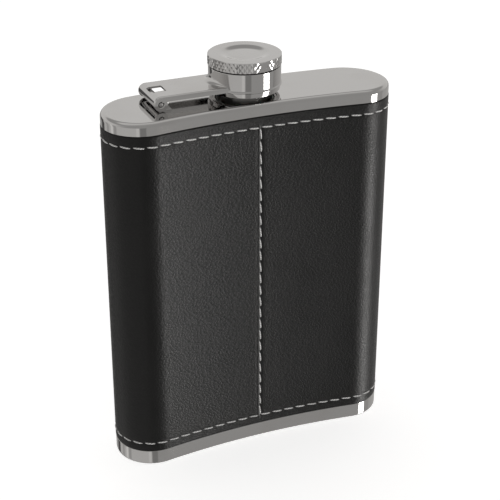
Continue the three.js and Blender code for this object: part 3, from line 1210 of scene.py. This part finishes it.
arm = carve(
    channel,
    ("INTERSECT", side_view),
    ("DIFFERENCE", hollow),
    ("UNION", curled_end),
    ("UNION", lug(-1)),
    ("UNION", lug(1)),
    ("UNION", ring),
    ("UNION", fillet),
    ("DIFFERENCE", bore),
    ("DIFFERENCE", window),
    ("DIFFERENCE", bar(pin_hole, -arm_half_width - spare, arm_half_width + spare)),
    ("DIFFERENCE", countersink(-1)),
    ("DIFFERENCE", countersink(1)),
)
settle(arm, "Cap_arm", bright_steel, "arm", "polished_steel", "cap_arm")

# %% [markdown]
# ## Bracket and pin
# The bracket is one strip. Its foot is welded to the shoulder, and at the hinge it turns up and
# rolls back over the pin as a knuckle. The foot stops short of the pin, because the arm's curled
# end comes down there when the arm is open. The pin's ends are domed a little by the riveting.

# %% Carve the bracket and turn the pin
knuckle_radius = 1.5 * MM
knuckle_bore = 0.82 * MM
knuckle_half = 6.6 * MM
foot_top = bracket_low.z + sheet_metal
foot_start = pin_axis.x + 0.55 * MM
foot = block(
    (foot_start, mid - knuckle_half, bracket_low.z),
    (bracket_high.x, mid + knuckle_half, foot_top),
)
round_edges(foot, 0.2 * MM, lambda p: p.z > foot_top - 1e-6, segments=3)
rise_outside = pin_axis.x + knuckle_radius - 0.02 * MM
rise = block(
    (rise_outside - sheet_metal, mid - knuckle_half + past, bracket_low.z + 0.3 * MM),
    (rise_outside, mid + knuckle_half - past, pin_axis.z),
)
bracket = carve(
    foot,
    ("UNION", rise),
    ("UNION", bar(knuckle_radius, -knuckle_half, knuckle_half)),
    ("DIFFERENCE", bar(knuckle_bore, -arm_half_width, arm_half_width)),
)
settle(bracket, "Hinge_bracket", bright_steel, "flask", "polished_steel", "hinge_bracket")

pin_radius = (pin_high.z - pin_low.z) / 2
pin_half = (pin_high.y - pin_low.y) / 2
pin = bar(pin_radius, -pin_half, pin_half, segments=32)
soften(pin, 0.25 * MM, segments=4, sharper=60)
settle(pin, "Hinge_pin", satin_steel, "arm", "plain_steel", "hinge_pin")

# %% [markdown]
# ## The tube inside
# The drawn tube is hidden under the leather and is right as it stands. It only takes its finish.

# %% Give the tube its finish
for material_slot in bpy.data.objects["body_tube"].material_slots:
    material_slot.material = satin_steel

# %% [markdown]
# ## The studio
# Polished steel has hardly any look of its own: it shows the room. So the room is drawn with care.
# Seen from the flask it is a pale wall with tall soft boxes and dark boards standing in it, which
# become the upright bars of light and dark in the cap's ring and in the steel's rounded ends. One
# strong box lights the leather from the right, low down, where the leather mirrors it to the eye.
# The wall reaches below the horizon, and the floor is hidden from reflections, because upright
# steel seen from above mirrors what is below the horizon. Above it is a plain sky, brighter behind
# the flask than in front, with a dark gap that shades the far side of the cap's dish. The camera
# itself sees plain white.

# %% Draw the room
wall_light = 0.41
# Direction of each board or box in degrees right of straight ahead of the hollow side, its half
# width, and how much more or less than the wall it sends.
uprights = [
    (-84, 62, 0.2),
    (-155, 9, -0.32),
    (-127, 5, -0.16),
    (-109, 4, 0.24),
    (-97, 5, -0.18),
    (-26, 5, 0.12),
    (-11, 9, -0.14),
    (110, 25, 0.1),
]
edge_softness = 4
strong_box = (50, 9, 12.5)
# Angles above the horizon, in degrees.
strong_box_foot = -40
strong_box_head = -12
dark_gap_foot = (27, 36)
dark_gap_head = (50, 60)
sky_in_front = 0.4
sky_behind = 0.74
dark_gap_light = -0.34
room_tint = (1.0, 0.985, 0.965, 1)


def draw_room(name):
    room = Finish(name, "worlds")
    x, y, z = room.split(room.node("TexCoord", output="Generated"))
    round_about = x.maths("ARCTAN2", x, 0 - y) * math.degrees(1)
    upwards = z.maths("ARCSINE", z) * math.degrees(1)
    light = wall_light

    def upright(middle, half, strength):
        aside = (round_about - middle).absolute()
        edge = aside.ramp(half - edge_softness / 2, half + edge_softness / 2)
        return (1 - edge) * strength

    def above(angle):
        return upwards.ramp(angle - edge_softness, angle + edge_softness)

    for board in uprights:
        light = light + upright(*board)
    box_height = above(strong_box_foot) - above(strong_box_head)
    light = light + upright(*strong_box) * box_height
    behind = y.ramp(-0.6, 0.4)
    gap = upwards.ramp(*dark_gap_foot) - upwards.ramp(*dark_gap_head)
    sky = behind * (gap * dark_gap_light + sky_behind - sky_in_front) + sky_in_front
    over_horizon = upwards.ramp(-1, 3)
    seen = light + (sky - light) * over_horizon
    to_camera = room.node("LightPath", output="Is Camera Ray")
    strength = seen + (1 - seen) * to_camera
    tint = room.blend(to_camera, room_tint, (1, 1, 1, 1))
    backdrop = room.node("Background", sockets={"Color": tint, "Strength": strength})
    room.node("OutputWorld", sockets={"Surface": backdrop})
    return room.result


bpy.context.scene.world = draw_room("Studio")
bpy.context.scene.view_settings.view_transform = "Standard"
print("boards and boxes:", len(uprights) + 1)

# %% [markdown]
# ## The floor
# The floor is a plain pale sheet, far larger than the view. It glows a little, which keeps it as
# white as the backdrop and leaves only a soft shadow where the flask stands.

# %% Lay the floor
def pale_floor(name):
    sheet = Finish(name)
    wear = sheet.noise(sheet.place(), 3, detail=2)
    return sheet.surface(
        Base_Color=sheet.blend(wear, grey(0.8), grey(0.84)),
        Roughness=0.7,
        Emission_Color=(1, 1, 1, 1),
        Emission_Strength=0.65,
    )


floor_half_size = 4
floor_bm = bmesh.new()
bmesh.ops.create_grid(floor_bm, x_segments=4, y_segments=4, size=floor_half_size)
floor_mesh = bpy.data.meshes.new("Floor")
floor_bm.to_mesh(floor_mesh)
floor_bm.free()
floor_mesh.materials.append(pale_floor("Pale_floor"))
floor = bpy.data.objects.new("Floor", floor_mesh)
floor.visible_glossy = False
floor.visible_shadow = False
bpy.context.scene.collection.objects.link(floor)
floor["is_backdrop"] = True

# %% [markdown]
# ## Sizes
# The finished pieces are meant to fill the same box as the engineering model. Both boxes are
# printed, for comparison.

# %% Print the sizes
visual_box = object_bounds()
for label, box in (("model", cad_box), ("pieces", visual_box)):
    print(label, [[round(value * 1000, 2) for value in corner] for corner in box])
